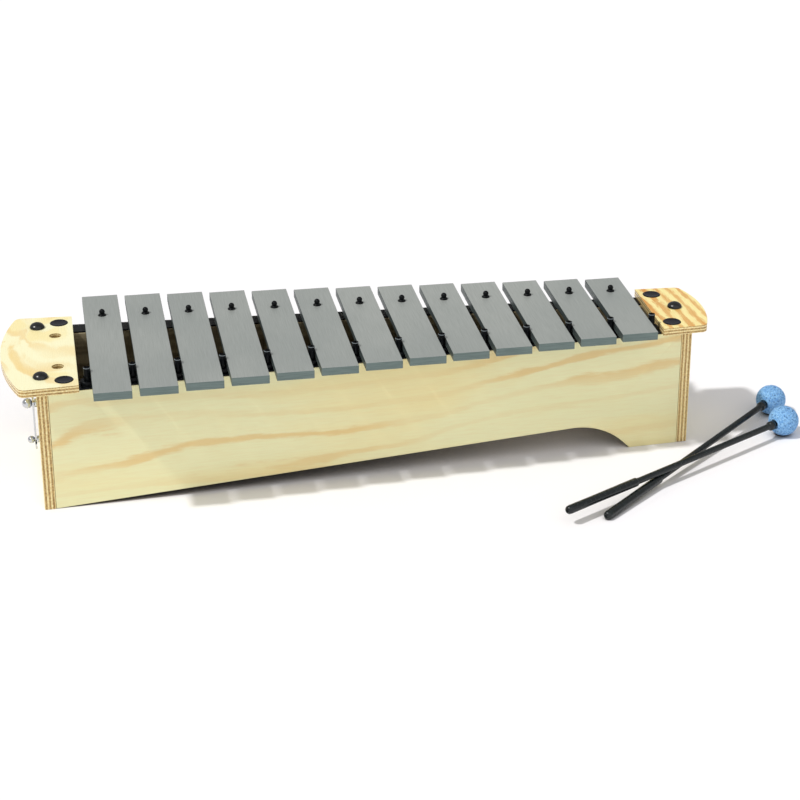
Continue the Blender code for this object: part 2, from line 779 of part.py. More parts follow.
def build_mallets():
    lower_slope, upper_slope = mallet_slopes()
    make_mallet("lower", LOWER_HEAD_SPOT, LOWER_HEADING, lower_slope)
    make_mallet("upper", UPPER_HEAD_SPOT, UPPER_HEADING, upper_slope)


build_coupling(build_resonator())
build_bearings()
build_bars()
build_end_plates()
build_mallets()
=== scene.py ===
import math
import random

import bpy
import numpy as np
from mathutils import Matrix, Vector


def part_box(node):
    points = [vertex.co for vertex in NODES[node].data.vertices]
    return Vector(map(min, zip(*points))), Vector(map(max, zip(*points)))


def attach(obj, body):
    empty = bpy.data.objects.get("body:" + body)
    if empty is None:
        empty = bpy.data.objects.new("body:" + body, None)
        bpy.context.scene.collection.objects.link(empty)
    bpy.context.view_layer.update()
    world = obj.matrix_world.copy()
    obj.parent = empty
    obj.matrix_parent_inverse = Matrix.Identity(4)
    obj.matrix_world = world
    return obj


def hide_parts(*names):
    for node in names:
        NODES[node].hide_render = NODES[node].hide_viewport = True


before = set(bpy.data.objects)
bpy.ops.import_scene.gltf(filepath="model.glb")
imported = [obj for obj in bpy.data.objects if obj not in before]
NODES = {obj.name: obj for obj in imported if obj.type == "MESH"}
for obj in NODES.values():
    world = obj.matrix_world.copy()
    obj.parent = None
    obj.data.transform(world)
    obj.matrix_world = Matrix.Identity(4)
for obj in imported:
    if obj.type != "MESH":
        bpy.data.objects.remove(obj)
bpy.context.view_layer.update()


def srgb(red, green, blue):
    """Linear colour of an 8-bit display colour."""
    channels = []
    for value in (red, green, blue):
        share = value / 255
        channels.append(share / 12.92 if share <= 0.04045 else ((share + 0.055) / 1.055) ** 2.4)
    return (*channels, 1.0)


# The view of the photograph
VIEW_TARGET = Vector((0.2704, -0.1556, 0.1140))
VIEW_AZIMUTH = math.radians(-9.983)
VIEW_ELEVATION = math.radians(24.728)
VIEW_ROLL = math.radians(-0.167)
VIEW_DISTANCE = 1.66367
VIEW_LENS = 97.65
SENSOR_WIDTH = 36.0

# Light: a soft key from the upper left, a broad fill from the front, and a pale surround
KEY_TRAVEL = Vector((0.68, 0.157, -1.0))
KEY_STRENGTH = 2.1
KEY_ANGLE = math.radians(3.5)
KEY_COLOUR = (1.0, 0.99, 0.97)
FILL_TRAVEL = Vector((-0.25, 1.0, -0.45))
FILL_STRENGTH = 0.95
FILL_ANGLE = math.radians(100)
FILL_COLOUR = (1.0, 1.0, 1.0)
SURROUND_COLOUR = (1.0, 1.0, 1.0, 1.0)
SURROUND_STRENGTH = 0.42
GLOSS_STRENGTH = 0.5

# Floor, with painted shade where the part stands close over it
FLOOR_SIZE = 8.0
FLOOR_CENTRE = (0.27, 0.0, 0.0)
FLOOR_COLOUR = (0.95, 0.938, 0.962, 1.0)
CONTACT_SHADE = (0.06, 0.053, 0.056, 1.0)
CONTACT_SHADE_REACH = 0.035
CONTACT_SHADE_SAMPLES = 8
CONTACT_SHADE_LIMITS = (0.02, 0.62)

# Directions, and how squarely a surface has to face one to count as a face
AXIS_X = (1.0, 0.0, 0.0)
AXIS_Y = (0.0, 1.0, 0.0)
AXIS_Z = (0.0, 0.0, 1.0)
FACE_LIMIT = 0.75

# Colours of the wood: light and dark of each kind
LIGHT_PLY = (srgb(247, 232, 178), srgb(226, 200, 138))
DARK_PLY = (srgb(204, 170, 108), srgb(146, 112, 64))
GLUE_LINE = srgb(112, 82, 46)
RAW_VENEER = (srgb(214, 202, 170), srgb(160, 150, 122))
RAW_PINE = (srgb(196, 182, 148), srgb(150, 136, 106))
SAW_MARK = srgb(76, 66, 50)

# Colours of the bars
BAR_CLOUDS = (srgb(163, 168, 165), srgb(175, 179, 175))
BAR_GRINDING = srgb(138, 144, 139)
BAR_SPECK = srgb(186, 189, 182)
BAR_SCUFF = srgb(196, 199, 193)
# The sawn ends are darker partly as painted shade; the sides are darker only as painted shade
BAR_SAWN_END_AND_SHADE = (srgb(108, 123, 120), srgb(94, 109, 106))
BAR_SIDE_SHADE = srgb(84, 94, 93)
SCUFF_TURN = 0.5

# Colours of the fittings: body and patches of each material
BLACK_RUBBER = (srgb(9, 11, 13), srgb(20, 23, 26))
TUBE_RUBBER = (srgb(9, 11, 13), srgb(22, 25, 28))
# Painted highlight on the lip round each tube's bore
TUBE_LIP_HIGHLIGHT = srgb(128, 136, 140)
BUTTON_PLASTIC = (srgb(2, 2, 3), srgb(5, 5, 6))
PLUG_PLASTIC = (srgb(12, 12, 20), srgb(30, 30, 42))
MALLET_PLASTIC = (srgb(8, 16, 17), srgb(15, 26, 27))
CHROME_HAZE = (srgb(214, 216, 220), srgb(190, 192, 196))
YARN_CROWN = (srgb(108, 162, 218), srgb(150, 198, 238))
# Painted shade in the yarn's furrows and on the strands' flanks
YARN_FURROW_SHADE = srgb(34, 78, 136)
YARN_FIBRE = srgb(176, 210, 242)

# Broken edges of the CAD pieces, and what joins and smooths a mesh
PANEL_EDGE = 0.0004
END_PANEL_EDGE = 0.0005
PLATE_EDGE = 0.0007
RAIL_EDGE = 0.0005
BAR_EDGE = 0.00035
CHROME_EDGE = 0.0002
MERGE_DISTANCE = 0.00001
SMOOTH_LIMIT = math.radians(38)

# Pins through the bars
PIN_SLEEVE_RADIUS = 0.0031
PIN_SLEEVE_RISE = 0.0009
PIN_NECK_RADIUS = 0.0018
PIN_NECK_RISE = 0.0004
PIN_DOME_RADIUS = 0.0024
PIN_DOME_ARC = (12, 128, 10)
PIN_COLLAR_RADIUS = 0.0055
PIN_STEM_RADIUS = 0.0016
RUBBER_BREAK = 0.0003
COLLAR_BREAK = 0.0004
COLLAR_GAP = 0.0003
PIN_SEGMENTS = 28

# Separator tubes, one before each bar and one after the last
BAR_COUNT = 13
TUBE_COUNT = BAR_COUNT + 1
TUBE_RADIUS = 0.0026
TUBE_BORE_RADIUS = 0.0013
TUBE_BORE_DEPTH = 0.0028
TUBE_SKIN = 0.0001
LIP_BREAK = 0.0002
LIP_HEIGHT = 0.0016
# Band under each tube's top that takes the painted highlight
LIP_HIGHLIGHT_SPAN = (0.0007, 0.0002)
TUBE_SEGMENTS = 28

# Cover plugs and dome buttons
PLUG_FACE = ((0.0, 0.00045), (0.30, 0.00043), (0.62, 0.00034), (0.80, 0.00012),
             (0.87, 0.0), (0.94, 0.00004), (0.985, 0.0002), (1.0, 0.0005))
PLUG_SEGMENTS = 56
BUTTON_MARK = ((0.0, 0.00025), (0.0011, 0.00022), (0.0014, 0.00006))
BUTTON_ARC = range(18, 88, 8)
BUTTON_FOOT_HEIGHT = 0.0003
BUTTON_FOOT_BREAK = 0.0002
BUTTON_SEGMENTS = 48

# Mallets: radii with their distances from the head for the ferrule, and from either end for the grip
HEAD_RADIUS = 0.013
SHAFT_RADIUS = 0.0026
FERRULE_GAP = 0.0003
FERRULE = ((0.0026, 0.0064), (0.0029, 0.0056), (0.0037, 0.0050), (0.0040, 0.0044),
           (0.0040, 0.0005), (0.0037, 0.0), (0.0026, 0.0))
GRIP_BUTT = ((0.0, 0.0012), (0.0009, 0.0011), (0.0012, 0.0003), (0.0017, 0.0),
             (0.0026, 0.0003), (0.0034, 0.0014), (0.0037, 0.0036), (0.00355, 0.030))
GRIP_MOUTH = ((0.00365, 0.012), (0.0037, 0.0014), (0.0035, 0.0003), (0.0031, 0.0), (0.0029, 0.0))
GRIP_BORE_RADIUS = 0.0029
GRIP_BORE_END = 0.004
MALLET_SEGMENTS = 32

# Yarn on the mallet heads, wound in bands of a few loops that turn from band to band
YARN_RADIUS = 0.00090
YARN_LOOPS = 96
YARN_POINTS = 36
YARN_BAND = 4
YARN_LIFT = 0.00038
YARN_LIFT_RATE = 7.3
CORE_DEPTH = 2.2 * YARN_RADIUS
CORE_STEPS = 24
CORE_SEGMENTS = 48
BAND_TURN = 2.399
LOOP_TURN = 0.105
TILT_MIDDLE = math.radians(63)
TILT_SWING = math.radians(21)
TILT_RATE = 1.27
EASE_START = 0.75
SHAFT_CLEARANCE = math.radians(21)
# Where the painted shade on the strands' flanks and in the furrows sets in
FLANK_SHADE_LEAN = (0.66, 0.97)
FURROW_SHADE_DEPTHS = (3.0 * YARN_RADIUS, 1.6 * YARN_RADIUS)

# Looks of the veneers. Scales are in turns per metre; "dark" is the colour of growth lines and fibres.
PANEL_LOOK = {
    "stretch": (3.4, 14.0, 20.0),
    "shift": (0.6, 0.3, 0.2),
    "turn": (0.0, math.radians(3), 0.0),
    "swirl": 0.45,
    "blotch": (0.50, 0.72),
    "blotch_depth": 0.52,
    "band_direction": (-0.07, 0.0, 1.0),
    "bands": 46.0,
    "rings": 3.4,
    "line_power": 8.0,
    "line_depth": 0.60,
    "gate_floor": 0.25,
    "feather": (45.0, 260.0, 260.0),
    "feather_depth": 0.10,
    "fibre": (30.0, 700.0, 700.0),
    "fibre_depth": 0.14,
    "pale": srgb(232, 229, 182),
    "tan": srgb(239, 217, 150),
    "dark": srgb(222, 180, 108),
}
END_PANEL_LOOK = {
    **PANEL_LOOK,
    "stretch": (16.0, 20.0, 6.0),
    "turn": (0.0, 0.0, 0.0),
    "fibre": (700.0, 700.0, 30.0),
}
BASS_PLATE_LOOK = {
    **PANEL_LOOK,
    "stretch": (24.0, 15.0, 10.0),
    "turn": (0.0, 0.0, math.radians(12)),
    "swirl": 0.9,
    "blotch": (0.50, 0.62),
    "blotch_depth": 0.65,
    "band_direction": (1.0, 0.2, 0.0),
    "bands": 14.0,
    "rings": 2.6,
    "line_power": 5.0,
    "line_depth": 0.55,
    "feather": (240.0, 60.0, 60.0),
    "fibre": (700.0, 40.0, 300.0),
    "fibre_depth": 0.10,
    "pale": srgb(252, 248, 206),
    "tan": srgb(250, 230, 158),
    "dark": srgb(240, 200, 120),
}
TREBLE_PLATE_LOOK = {
    **BASS_PLATE_LOOK,
    "stretch": (22.0, 7.0, 10.0),
    "turn": (0.0, 0.0, 0.0),
    "swirl": 0.3,
    "bands": 104.0,
    "band_direction": (1.0, 0.12, 0.0),
    "rings": 1.7,
    "line_power": 1.5,
    "line_depth": 1.0,
    "gate_floor": 0.62,
    "blotch_depth": 0.5,
    "feather": (420.0, 95.0, 60.0),
    "feather_depth": 0.55,
    "fibre_depth": 0.22,
    "pale": srgb(252, 238, 166),
    "tan": srgb(250, 216, 130),
    "dark": srgb(214, 142, 46),
}
GATE_SHIFT = (7.3, 2.1, 4.4)


def new_material(name, roughness, metallic=0.0, specular=0.5):
    """New material, its node tree and its shader."""
    material = bpy.data.materials.new(name)
    material.use_nodes = True
    shader = material.node_tree.nodes["Principled BSDF"]
    shader.inputs["Roughness"].default_value = roughness
    shader.inputs["Metallic"].default_value = metallic
    shader.inputs["Specular IOR Level"].default_value = specular
    return material, material.node_tree, shader


def feed(tree, socket, value):
    """Link a socket to an output, or set it to a plain value."""
    if isinstance(value, bpy.types.NodeSocket):
        tree.links.new(value, socket)
    else:
        socket.default_value = value


def coordinates(tree):
    return tree.nodes.new("ShaderNodeTexCoord").outputs["Object"]


def true_normal(tree):
    return tree.nodes.new("ShaderNodeNewGeometry").outputs["True Normal"]


def stretched(tree, vector, scale, shift=(0, 0, 0), turn=(0, 0, 0)):
    node = tree.nodes.new("ShaderNodeMapping")
    feed(tree, node.inputs["Vector"], vector)
    node.inputs["Scale"].default_value = scale
    node.inputs["Location"].default_value = shift
    node.inputs["Rotation"].default_value = turn
    return node.outputs["Vector"]


def noise(tree, vector, scale=1.0, detail=2.0, roughness=0.5, distortion=0.0):
    node = tree.nodes.new("ShaderNodeTexNoise")
    feed(tree, node.inputs["Vector"], vector)
    node.inputs["Scale"].default_value = scale
    node.inputs["Detail"].default_value = detail
    node.inputs["Roughness"].default_value = roughness
    node.inputs["Distortion"].default_value = distortion
    return node.outputs["Fac"]


def calc(tree, operation, first, second=0.0):
    node = tree.nodes.new("ShaderNodeMath")
    node.operation = operation
    feed(tree, node.inputs[0], first)
    feed(tree, node.inputs[1], second)
    return node.outputs[0]


def vector_calc(tree, operation, output, first, second=None):
    node = tree.nodes.new("ShaderNodeVectorMath")
    node.operation = operation
    feed(tree, node.inputs[0], first)
    if second is not None:
        feed(tree, node.inputs[1], second)
    return node.outputs[output]


def dot(tree, vector, direction):
    return vector_calc(tree, "DOT_PRODUCT", "Value", vector, direction)


def fade(tree, value, low, high, low_out=0.0, high_out=1.0):
    """Smooth step of a value between two limits."""
    node = tree.nodes.new("ShaderNodeMapRange")
    node.interpolation_type = "SMOOTHSTEP"
    feed(tree, node.inputs["Value"], value)
    node.inputs["From Min"].default_value = low
    node.inputs["From Max"].default_value = high
    node.inputs["To Min"].default_value = low_out
    node.inputs["To Max"].default_value = high_out
    return node.outputs["Result"]


def mix(tree, factor, first, second):
    """Mix of two colours. Several sockets of this node share a name, so they are picked by number."""
    node = tree.nodes.new("ShaderNodeMix")
    node.data_type = "RGBA"
    feed(tree, node.inputs[0], factor)
    feed(tree, node.inputs[6], first)
    feed(tree, node.inputs[7], second)
    return node.outputs[2]


def bump(tree, shader, height, distance, strength):
    node = tree.nodes.new("ShaderNodeBump")
    feed(tree, node.inputs["Height"], height)
    node.inputs["Distance"].default_value = distance
    node.inputs["Strength"].default_value = strength
    tree.links.new(node.outputs["Normal"], shader.inputs["Normal"])


def veneer(tree, place, look):
    """Colour of a rotary-cut veneer: soft blotches, feathered growth lines, and fine fibres."""
    wide = stretched(tree, place, look["stretch"], look["shift"], look["turn"])
    field = noise(tree, wide, detail=2.5, roughness=0.45, distortion=look["swirl"])
    fibre_place = stretched(tree, place, look["fibre"], turn=look["turn"])
    fibre = noise(tree, fibre_place, detail=4.0, roughness=0.65)
    feather_place = stretched(tree, place, look["feather"], turn=look["turn"])
    feather = calc(tree, "SUBTRACT", noise(tree, feather_place, detail=3.0, roughness=0.6), 0.5)
    ragged = calc(tree, "ADD", field, calc(tree, "MULTIPLY", feather, look["feather_depth"]))
    blotch = fade(tree, ragged, *look["blotch"])
    blotch_share = calc(tree, "MULTIPLY", blotch, look["blotch_depth"])
    bands = calc(tree, "MULTIPLY", dot(tree, place, look["band_direction"]), look["bands"])
    phase = calc(tree, "ADD", bands, calc(tree, "MULTIPLY", ragged, look["rings"]))
    wave = calc(tree, "SINE", calc(tree, "MULTIPLY", phase, math.tau))
    line = calc(tree, "POWER", fade(tree, wave, -1.0, 1.0), look["line_power"])
    gate_place = stretched(tree, place, look["stretch"], GATE_SHIFT, look["turn"])
    gate_field = noise(tree, gate_place, scale=0.8, detail=1.0)
    gate = fade(tree, gate_field, 0.40, 0.60, look["gate_floor"], 1.0)
    line_share = calc(tree, "MULTIPLY", calc(tree, "MULTIPLY", line, gate), look["line_depth"])
    fibre_share = fade(tree, fibre, 0.35, 0.75, 0.0, look["fibre_depth"])
    colour = mix(tree, blotch_share, look["pale"], look["tan"])
    colour = mix(tree, line_share, colour, look["dark"])
    return mix(tree, fibre_share, colour, look["dark"]), fibre


def ply_edge(tree, place, direction, start, thickness, pairs):
    """Colour of a plywood edge: plies stacked along a direction, with streaks along each ply."""
    depth = calc(tree, "SUBTRACT", dot(tree, place, direction), start)
    share = calc(tree, "DIVIDE", depth, thickness)
    wobble = calc(tree, "SUBTRACT", noise(tree, place, scale=60.0), 0.5)
    share = calc(tree, "ADD", share, calc(tree, "MULTIPLY", wobble, 0.05))
    wave = calc(tree, "COSINE", calc(tree, "MULTIPLY", share, pairs * math.tau))
    cross_ply = fade(tree, wave, 0.30, -0.45)
    glue_line = fade(tree, calc(tree, "ABSOLUTE", wave), 0.42, 0.05)
    streak = fade(tree, noise(tree, place, scale=900.0, detail=3.0), 0.35, 0.65)
    colour = mix(tree, cross_ply, mix(tree, streak, *LIGHT_PLY), mix(tree, streak, *DARK_PLY))
    return mix(tree, calc(tree, "MULTIPLY", glue_line, 0.45), colour, GLUE_LINE)


def plywood(name, look, direction, start, thickness, pairs, roughness, raw_inside=False):
    """Lacquered plywood: veneer where the surface faces along a direction, stacked plies elsewhere."""
    material, tree, shader = new_material(name, roughness, specular=0.30)
    place = coordinates(tree)
    face, fibre = veneer(tree, place, look)
    edge = ply_edge(tree, place, direction, start, thickness, pairs)
    facing = dot(tree, true_normal(tree), direction)
    on_face = calc(tree, "GREATER_THAN", calc(tree, "ABSOLUTE", facing), FACE_LIMIT)
    colour = mix(tree, on_face, edge, face)
    if raw_inside:
        inward = calc(tree, "LESS_THAN", facing, -FACE_LIMIT)
        raw = mix(tree, fade(tree, fibre, 0.3, 0.7), *RAW_VENEER)
        colour = mix(tree, inward, colour, raw)
    feed(tree, shader.inputs["Base Color"], colour)
    rough = fade(tree, fibre, 0.3, 0.8, roughness - 0.06, roughness + 0.10)
    feed(tree, shader.inputs["Roughness"], rough)
    shader.inputs["Coat Weight"].default_value = 0.10
    shader.inputs["Coat Roughness"].default_value = 0.15
    bump(tree, shader, fibre, distance=0.00012, strength=0.5)
    return material


def raw_pine():
    """Planed, unlacquered wood of the rails and the board inside the box."""
    material, tree, shader = new_material("raw_pine_fine", roughness=0.62, specular=0.25)
    place = coordinates(tree)
    ring_place = stretched(tree, place, (6.0, 120.0, 120.0))
    rings = noise(tree, ring_place, detail=3.0, distortion=0.4)
    saw = noise(tree, stretched(tree, place, (900.0, 60.0, 40.0)))
    colour = mix(tree, fade(tree, rings, 0.35, 0.65), *RAW_PINE)
    colour = mix(tree, fade(tree, saw, 0.5, 0.8, 0.0, 0.35), colour, SAW_MARK)
    feed(tree, shader.inputs["Base Color"], colour)
    bump(tree, shader, rings, distance=0.0003, strength=0.5)
    return material


def bar_metal():
    """Satin grey alloy, finely ground along the bars, with faint clouds and a few light scuffs, painted
    shade on the sides, and sawn ends darkened partly by painted shade.
    """
    material, tree, shader = new_material("bar_metal_fine", roughness=0.46, metallic=0.35, specular=0.45)
    place = coordinates(tree)
    cloud = noise(tree, stretched(tree, place, (12.0, 7.0, 12.0)), detail=3.0)
    ground_place = stretched(tree, place, (1500.0, 40.0, 1500.0))
    ground = noise(tree, ground_place, detail=3.0, roughness=0.6)
    speck = noise(tree, place, scale=1400.0, roughness=0.7)
    scuff_place = stretched(tree, place, (90.0, 900.0, 90.0), turn=(0, 0, SCUFF_TURN))
    scuff = noise(tree, scuff_place, detail=4.0, roughness=0.7)
    colour = mix(tree, fade(tree, cloud, 0.3, 0.7), *BAR_CLOUDS)
    colour = mix(tree, fade(tree, ground, 0.3, 0.75, 0.0, 0.35), colour, BAR_GRINDING)
    colour = mix(tree, fade(tree, speck, 0.55, 0.8, 0.0, 0.30), colour, BAR_SPECK)
    colour = mix(tree, fade(tree, scuff, 0.68, 0.78, 0.0, 0.5), colour, BAR_SCUFF)
    normal = true_normal(tree)
    # Painted shade: the sides darker, and the sawn ends darker in part, by the way each face is turned
    sawn_and_shaded_end = fade(tree, calc(tree, "ABSOLUTE", dot(tree, normal, AXIS_Y)), 0.80, 0.95)
    shaded_side = fade(tree, calc(tree, "ABSOLUTE", dot(tree, normal, AXIS_X)), 0.80, 0.95)
    sawn = noise(tree, stretched(tree, place, (60.0, 60.0, 1600.0)))
    colour = mix(tree, sawn_and_shaded_end, colour, mix(tree, fade(tree, sawn, 0.35, 0.7), *BAR_SAWN_END_AND_SHADE))
    colour = mix(tree, shaded_side, colour, BAR_SIDE_SHADE)
    feed(tree, shader.inputs["Base Color"], colour)
    feed(tree, shader.inputs["Roughness"], fade(tree, ground, 0.3, 0.8, 0.40, 0.56))
    bump(tree, shader, ground, distance=0.00004, strength=0.6)
    return material


def dark_polymer(name, colours, roughness, grain, specular):
    """Black moulded polymer with a fine grain, and patches that are lighter and less glossy."""
    material, tree, shader = new_material(name, roughness, specular=specular)
    place = coordinates(tree)
    patch = noise(tree, place, scale=260.0, detail=3.0)
    fine = noise(tree, place, scale=grain, roughness=0.6)
    feed(tree, shader.inputs["Base Color"], mix(tree, fade(tree, patch, 0.35, 0.75), *colours))
    rough = fade(tree, patch, 0.3, 0.8, roughness - 0.05, roughness + 0.10)
    feed(tree, shader.inputs["Roughness"], rough)
    bump(tree, shader, fine, distance=0.00002, strength=0.35)
    return material


def rubber_with_lip_highlight(lip_height):
    """The tubes' rubber, with a painted highlight in grey on the lip round each bore."""
    material = dark_polymer("tube_rubber_fine", TUBE_RUBBER, roughness=0.36, grain=2600.0, specular=0.10)
    tree = material.node_tree
    shader = tree.nodes["Principled BSDF"]
    body = shader.inputs["Base Color"].links[0].from_socket
    highlight_low, highlight_high = LIP_HIGHLIGHT_SPAN
    height = dot(tree, coordinates(tree), AXIS_Z)
    # Painted highlight: a grey ring on the lip round the bore
    lip = fade(tree, height, lip_height - highlight_low, lip_height - highlight_high)
    feed(tree, shader.inputs["Base Color"], mix(tree, lip, body, TUBE_LIP_HIGHLIGHT))
    return material


def chrome():
    material, tree, shader = new_material("chrome_fine", roughness=0.10, metallic=1.0)
    haze = noise(tree, coordinates(tree), scale=420.0, detail=3.0)
    feed(tree, shader.inputs["Base Color"], mix(tree, haze, *CHROME_HAZE))
    feed(tree, shader.inputs["Roughness"], fade(tree, haze, 0.3, 0.8, 0.06, 0.20))
    return material


def yarn(name, centre, radius):
    """Woolly yarn: light on the crown of each strand, with painted shade in deep blue on its flanks and in
    the furrows.
    """
    material, tree, shader = new_material(name, roughness=0.92, specular=0.2)
    source = tree.nodes.new("ShaderNodeTexCoord").outputs
    place = source["Object"]
    spoke = vector_calc(tree, "SUBTRACT", "Vector", place, centre)
    distance = vector_calc(tree, "LENGTH", "Value", spoke)
    lean = calc(tree, "DIVIDE", dot(tree, source["Normal"], spoke), distance)
    deep, shallow = FURROW_SHADE_DEPTHS
    height = fade(tree, distance, radius - deep, radius - shallow)
    # Painted shade: dark blue on the strands' flanks and in the furrows, the yarn's own light blue on the
    # crowns
    crown = calc(tree, "MULTIPLY", fade(tree, lean, *FLANK_SHADE_LEAN), height)
    clump = noise(tree, place, scale=620.0, detail=3.0, roughness=0.6)
    fibre = noise(tree, place, scale=3200.0, roughness=0.7)
    light = mix(tree, fade(tree, clump, 0.35, 0.65), *YARN_CROWN)
    colour = mix(tree, crown, YARN_FURROW_SHADE, light)
    colour = mix(tree, fade(tree, fibre, 0.55, 0.85, 0.0, 0.25), colour, YARN_FIBRE)
    feed(tree, shader.inputs["Base Color"], colour)
    shader.inputs["Sheen Weight"].default_value = 0.1
    shader.inputs["Sheen Roughness"].default_value = 0.5
    bump(tree, shader, fibre, distance=0.0002, strength=0.8)
    return material


def give(item, material):
    item.data.materials.clear()
    item.data.materials.append(material)


def round_edges(item, width, segments=2, limit=40):
    """Join the loose faces of a CAD piece, and break the edges sharper than a limit in degrees."""
    weld = item.modifiers.new("weld", "WELD")
    weld.merge_threshold = MERGE_DISTANCE
    bevel = item.modifiers.new("edge", "BEVEL")
    bevel.width = width
    bevel.segments = segments
    bevel.limit_method = "ANGLE"
    bevel.angle_limit = math.radians(limit)
    bevel.harden_normals = False


def add_piece(name, mesh, material, body, replaced=None):
    """Add a fine piece that rides on a body, in place of a CAD node where one is named."""
    item = bpy.data.objects.new(name, mesh)
    bpy.context.scene.collection.objects.link(item)
    give(item, material)
    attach(item, body)
    if replaced:
        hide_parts(replaced)
    return item


def evaluated_mesh(item):
    """The mesh of an object as its modifiers or its curve make it; the object is removed."""
    bpy.context.scene.collection.objects.link(item)
    graph = bpy.context.evaluated_depsgraph_get()
    mesh = bpy.data.meshes.new_from_object(item.evaluated_get(graph))
    mesh.name = item.name
    bpy.data.objects.remove(item)
    return mesh


def turned_mesh(name, profile, place, segments):
    """Closed body turned about the Z axis of a placing matrix, on which its profile starts and ends."""
    scratch = bpy.data.meshes.new(name)
    scratch.from_pydata([(radius, 0.0, height) for radius, height in profile], [], [])
    scratch.edges.add(len(profile) - 1)
    for index, edge in enumerate(scratch.edges):
        edge.vertices = (index, index + 1)
    item = bpy.data.objects.new(name, scratch)
    screw = item.modifiers.new("turn", "SCREW")
    screw.steps = segments
    screw.render_steps = segments
    screw.use_merge_vertices = True
    screw.merge_threshold = MERGE_DISTANCE
    mesh = evaluated_mesh(item)
    mesh.transform(place)
    mesh.shade_smooth()
    mesh.set_sharp_from_angle(angle=SMOOTH_LIMIT)
    return mesh


def arc(radius, middle, first, last, steps):
    """Points (radius, height) of an arc in a profile; angles from the axis, in degrees."""
    points = []
    for step in range(steps + 1):
        angle = math.radians(first + (last - first) * step / steps)
        points.append((radius * math.sin(angle), middle + radius * math.cos(angle)))
    return points


def middle_of(node):
    """Middle, low corner and high corner of a CAD piece's box."""
    low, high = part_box(node)
    return (low + high) / 2, low, high


def upright(middle):
    """Placing matrix of a turned piece that stands upright over a point of the floor."""
    return Matrix.Translation((middle.x, middle.y, 0.0))


def axis_of(node):
    """Centre and direction of a turned CAD piece's axis, and where it starts and ends from the centre."""
    points = np.array([vertex.co for vertex in NODES[node].data.vertices])
    points = np.unique(points.round(decimals=7), axis=0)
    centre = points.mean(axis=0)
    direction = np.linalg.svd(points - centre, full_matrices=False)[2][0]
    along = (points - centre) @ direction
    return Vector(centre), Vector(direction), float(along.min()), float(along.max())


def dress_side_panels(taper):
    """Front and back panels, raw on the inside, with their plies along the taper's normal."""
    shift_x, shift_y, shift_z = PANEL_LOOK["shift"]
    for side, node in ((-1, "front_panel"), (1, "back_panel")):
        normal = Vector((taper, side, 0.0)).normalized()
        depths = [normal.dot(vertex.co) for vertex in NODES[node].data.vertices]
        inner, outer = min(depths), max(depths)
        look = dict(PANEL_LOOK, shift=(shift_x, shift_y + side, shift_z))
        plies = {"start": inner, "thickness": outer - inner, "pairs": 2}
        ply = plywood(f"{node}_ply", look, tuple(normal), **plies, roughness=0.34, raw_inside=True)
        give(NODES[node], ply)
        round_edges(NODES[node], PANEL_EDGE)


def dress_wood():
    """Panels, end plates, rails and bottom board, each with its plies or its grain."""
    bass_low, bass_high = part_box("bass_end_panel")
    treble_low, treble_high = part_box("treble_end_panel")
    dress_side_panels((bass_high.y - treble_high.y) / (treble_low.x - bass_low.x))
    wall = bass_high.x - bass_low.x
    for node, low in (("bass_end_panel", bass_low), ("treble_end_panel", treble_low)):
        plies = {"start": low.x, "thickness": wall, "pairs": 3}
        give(NODES[node], plywood(f"{node}_ply", END_PANEL_LOOK, AXIS_X, **plies, roughness=0.36))
        round_edges(NODES[node], END_PANEL_EDGE)
    for node, look in (("bass_end_plate", BASS_PLATE_LOOK), ("treble_end_plate", TREBLE_PLATE_LOOK)):
        low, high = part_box(node)
        plies = {"start": low.z, "thickness": high.z - low.z, "pairs": 2.5}
        give(NODES[node], plywood(f"{node}_ply", look, AXIS_Z, **plies, roughness=0.28))
        round_edges(NODES[node], PLATE_EDGE, segments=3)
    pine = raw_pine()
    for node in ("near_rail", "far_rail", "bottom_board"):
        give(NODES[node], pine)
        round_edges(NODES[node], RAIL_EDGE)


def dress_bars():
    metal = bar_metal()
    for node, item in NODES.items():
        if node.startswith("bar_") and not node.startswith("bar_pin"):
            give(item, metal)
            round_edges(item, BAR_EDGE)


def dress_pins(rubber):
    """Collar and sleeve of each pin, with an acorn-shaped tip."""
    collar_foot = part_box("far_strip")[1].z + COLLAR_GAP
    for node in sorted(name for name in NODES if name.startswith("bar_pin_")):
        middle, low, high = middle_of(node)
        bar_low, bar_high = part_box(node.replace("bar_pin", "bar"))
        sleeve_top = bar_high.z + PIN_SLEEVE_RISE
        collar_top = bar_low.z - COLLAR_GAP
        profile = [(0.0, high.z)]
        profile += arc(PIN_DOME_RADIUS, high.z - PIN_DOME_RADIUS, *PIN_DOME_ARC)
        profile += [
            (PIN_NECK_RADIUS, sleeve_top + PIN_NECK_RISE),
            (PIN_NECK_RADIUS + RUBBER_BREAK, sleeve_top),
            (PIN_SLEEVE_RADIUS - RUBBER_BREAK, sleeve_top),
            (PIN_SLEEVE_RADIUS, sleeve_top - RUBBER_BREAK),
            (PIN_SLEEVE_RADIUS, collar_top),
            (PIN_COLLAR_RADIUS - COLLAR_BREAK, collar_top),
            (PIN_COLLAR_RADIUS, collar_top - COLLAR_BREAK),
            (PIN_COLLAR_RADIUS, collar_foot),
            (PIN_STEM_RADIUS, collar_foot),
            (PIN_STEM_RADIUS, low.z),
            (0.0, low.z),
        ]
        mesh = turned_mesh(f"fine_{node}", profile, upright(middle), PIN_SEGMENTS)
        add_piece(f"fine_{node}", mesh, rubber, "root", node)


